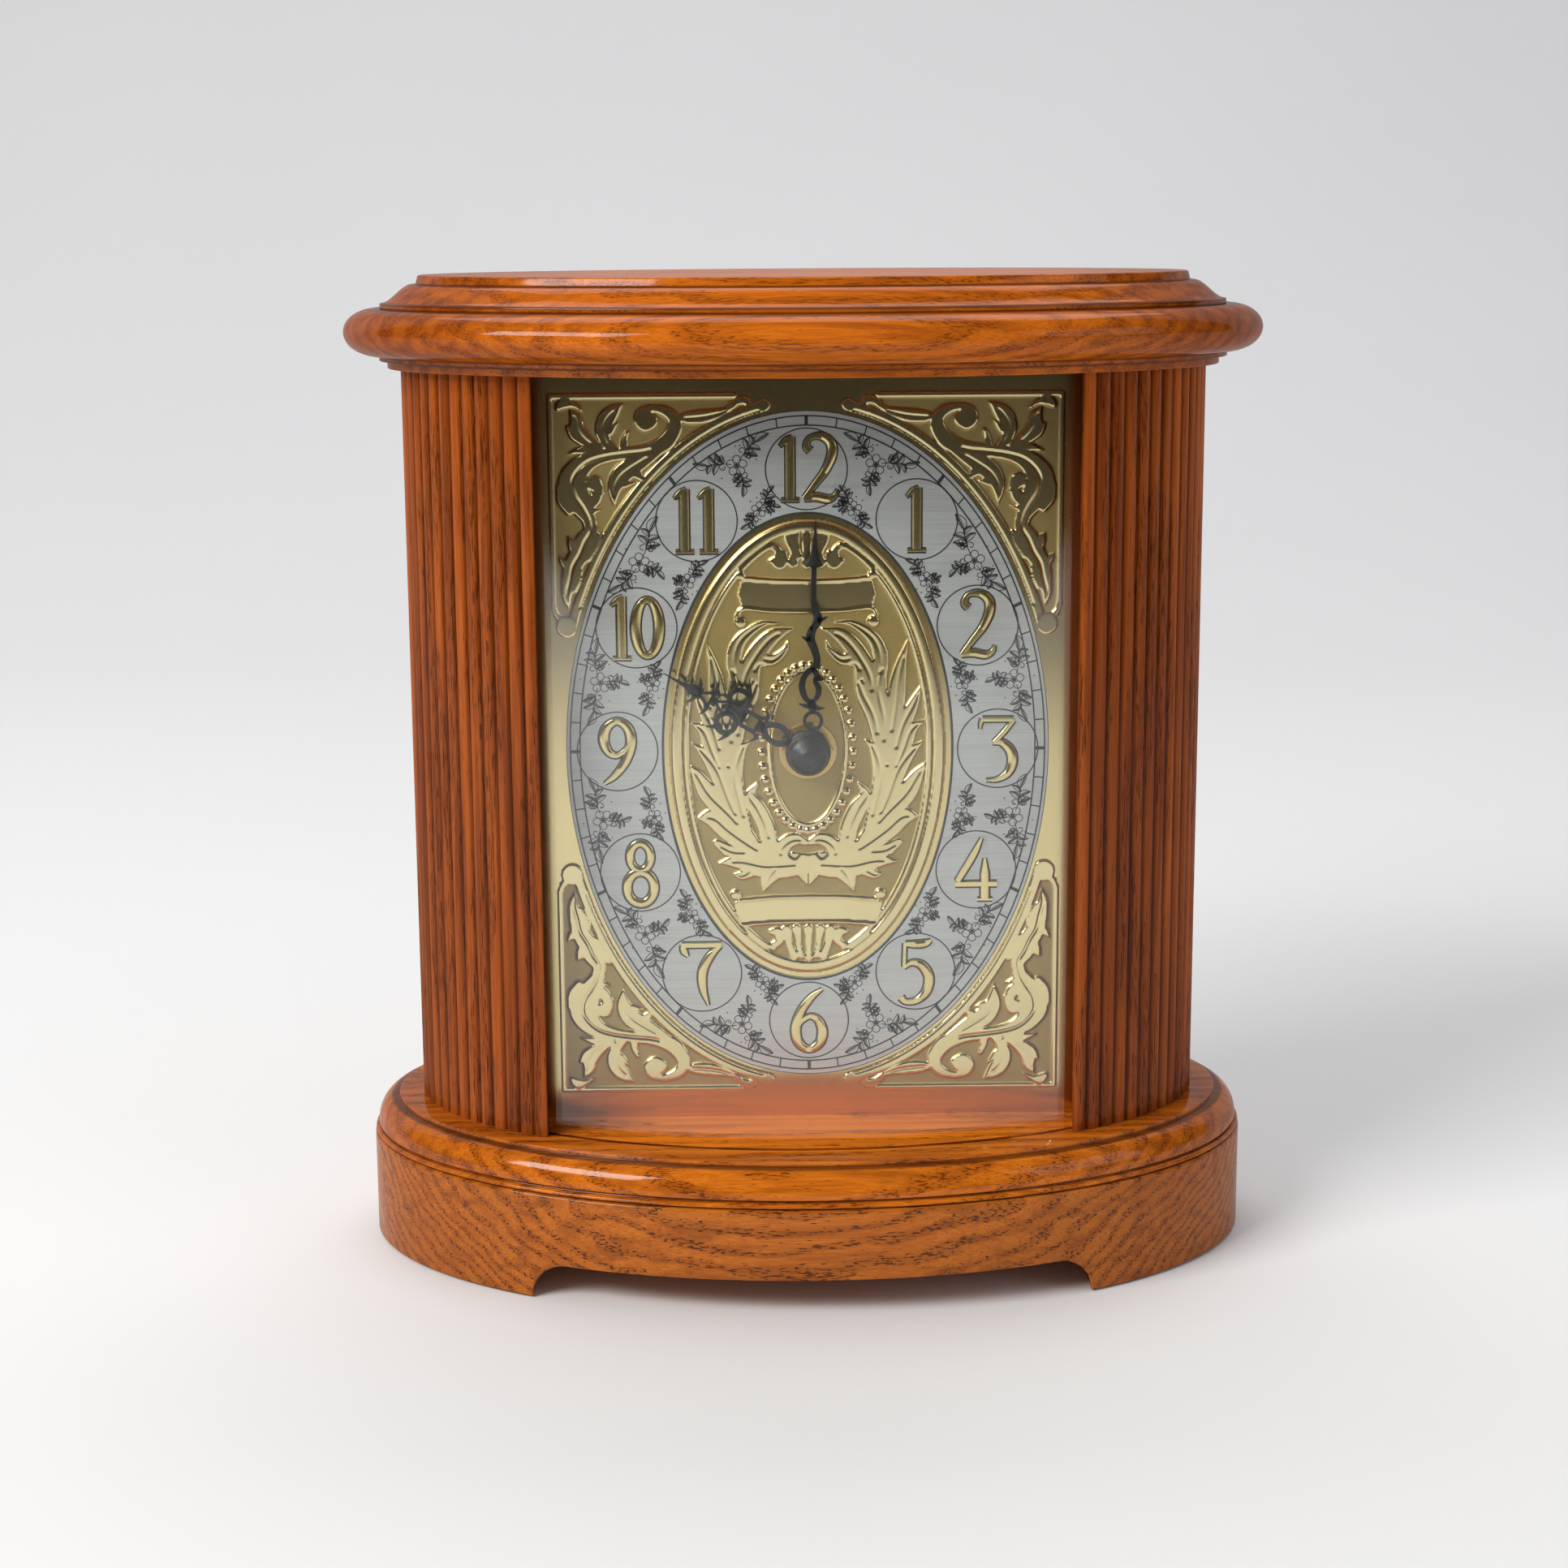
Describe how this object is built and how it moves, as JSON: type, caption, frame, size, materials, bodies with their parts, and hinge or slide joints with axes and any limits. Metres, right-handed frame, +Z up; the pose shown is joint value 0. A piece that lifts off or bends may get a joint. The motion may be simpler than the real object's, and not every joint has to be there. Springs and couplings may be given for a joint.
{
  "type": "mantel clock",
  "caption": "Oval oak mantel clock with reeded tambour sides, bent front glass, brass and silvered dial, and a quartz chime movement behind a hinged rear door.",
  "frame": {"origin": "under the middle of the oval base, at the level of the felts' lower face", "axes": "+Z up, the dial faces -Y, +X to the right as seen from the front"},
  "size_m": [0.232, 0.15, 0.25],
  "materials": {
    "oak": "glossy clear lacquer over oak",
    "tambour_oak": "glossy lacquer, vertical grain",
    "door_oak": "satin lacquer",
    "board": "plain hardboard and pine",
    "glass": "clear bent glass",
    "dial_brass": "brushed and lacquered sheet",
    "cast_brass": "polished relief on a matted ground",
    "silvered": "fine horizontal brushing with black print",
    "black_metal": "semi-gloss black enamel",
    "brass_fittings": "polished and lacquered",
    "steel": "bright zinc plate",
    "magnet": "sintered ferrite",
    "black_plastic": "fine moulded texture",
    "grey_plastic": "moulded",
    "white_plastic": "moulded acetal",
    "rubber": "matt",
    "felt": "pressed wool felt",
    "copper_wire": "enamelled copper winding",
    "circuit": "phenolic board",
    "cone_paper": "black paper pulp",
    "cell_jacket": "plain printed jacket"
  },
  "bodies": {
    "case": {"crown_cap": "oak", "crown_board": "oak", "base_top": "oak", "base_plinth": "oak", "tambour_left": "tambour_oak", "tambour_right": "tambour_oak", "front_glass": "glass", "case_dowels": "board", "plinth_screws": "steel", "crown_screws": "steel", "foot_felts": "felt", "hinge_case_leaves": "brass_fittings", "hinge_pins": "brass_fittings", "hinge_screws_case": "brass_fittings", "catch_magnet": "magnet", "dial_cleats": "board", "dial_screws": "steel", "dial_panel": "board", "dial_plate": "dial_brass", "chapter_ring": "silvered", "center_medallion": "cast_brass", "corner_spandrels": "cast_brass", "threaded_bushing": "brass_fittings", "rubber_washer": "rubber", "brass_washer": "brass_fittings", "hex_nut": "brass_fittings", "movement_front_case": "black_plastic", "movement_mid_plate": "grey_plastic", "movement_rear_cover": "black_plastic", "movement_screws": "steel", "fifth_wheel": "white_plastic", "rotor": "magnet", "stator": "steel", "coil": "copper_wire", "circuit_board": "circuit", "speaker_frame": "steel", "speaker_cone": "cone_paper", "speaker_magnet": "magnet", "battery_tray": "black_plastic", "batteries": "cell_jacket", "battery_contacts": "steel", "switch_bodies": "grey_plastic"},
    "minute_hand": {"minute_hand": "black_metal", "hand_nut": "black_metal", "center_wheel": "white_plastic"},
    "hour_hand": {"hour_hand": "black_metal", "hour_wheel": "white_plastic"},
    "minute_wheel": {"minute_wheel": "white_plastic", "set_knob": "grey_plastic"},
    "third_wheel": {"third_wheel": "white_plastic"},
    "second_wheel": {"second_wheel": "white_plastic"},
    "rear_door": {"rear_door": "door_oak", "hinge_door_leaves": "brass_fittings", "hinge_screws_door": "brass_fittings", "door_knob": "brass_fittings", "knob_screw": "steel", "catch_strike": "steel"},
    "chime_selector": {"chime_selector": "grey_plastic"},
    "night_switch": {"night_switch": "grey_plastic"},
    "volume_dial": {"volume_dial": "grey_plastic"}
  },
  "joints": [
    {"name": "minute_hand_turn", "type": "hinge", "parent": "case", "child": "minute_hand", "pos_m": [0, -0.012, 0.133], "axis": [0, 1, 0], "continuous": true},
    {"name": "hour_hand_turn", "type": "hinge", "parent": "case", "child": "hour_hand", "pos_m": [0, -0.012, 0.133], "axis": [0, 1, 0], "continuous": true},
    {"name": "minute_wheel_turn", "type": "hinge", "parent": "case", "child": "minute_wheel", "pos_m": [0, -0.012, 0.121], "axis": [0, 1, 0], "continuous": true},
    {"name": "third_wheel_turn", "type": "hinge", "parent": "case", "child": "third_wheel", "pos_m": [-0.00935, -0.012, 0.1384], "axis": [0, 1, 0], "continuous": true},
    {"name": "second_wheel_turn", "type": "hinge", "parent": "case", "child": "second_wheel", "pos_m": [-0.01112, -0.012, 0.14844], "axis": [0, 1, 0], "continuous": true},
    {"name": "rear_door_swing", "type": "hinge", "parent": "case", "child": "rear_door", "pos_m": [0.0651, 0.0486, 0.133], "axis": [0, 0, -1], "range_deg": [0, 105]},
    {"name": "chime_selector_slide", "type": "slide", "parent": "case", "child": "chime_selector", "axis": [1, 0, 0], "range_m": [-0.004, 0.004]},
    {"name": "night_switch_slide", "type": "slide", "parent": "case", "child": "night_switch", "axis": [1, 0, 0], "range_m": [0, 0.005]},
    {"name": "volume_dial_turn", "type": "hinge", "parent": "case", "child": "volume_dial", "pos_m": [-0.042, 0.013, 0.096], "axis": [0, 1, 0], "range_deg": [0, 270]}
  ],
  "couplings": [
    {"joint": "hour_hand_turn", "follows": "minute_hand_turn", "ratio": 0.083333},
    {"joint": "minute_wheel_turn", "follows": "minute_hand_turn", "ratio": -0.33333},
    {"joint": "third_wheel_turn", "follows": "minute_hand_turn", "ratio": -8},
    {"joint": "second_wheel_turn", "follows": "minute_hand_turn", "ratio": 60}
  ]
}
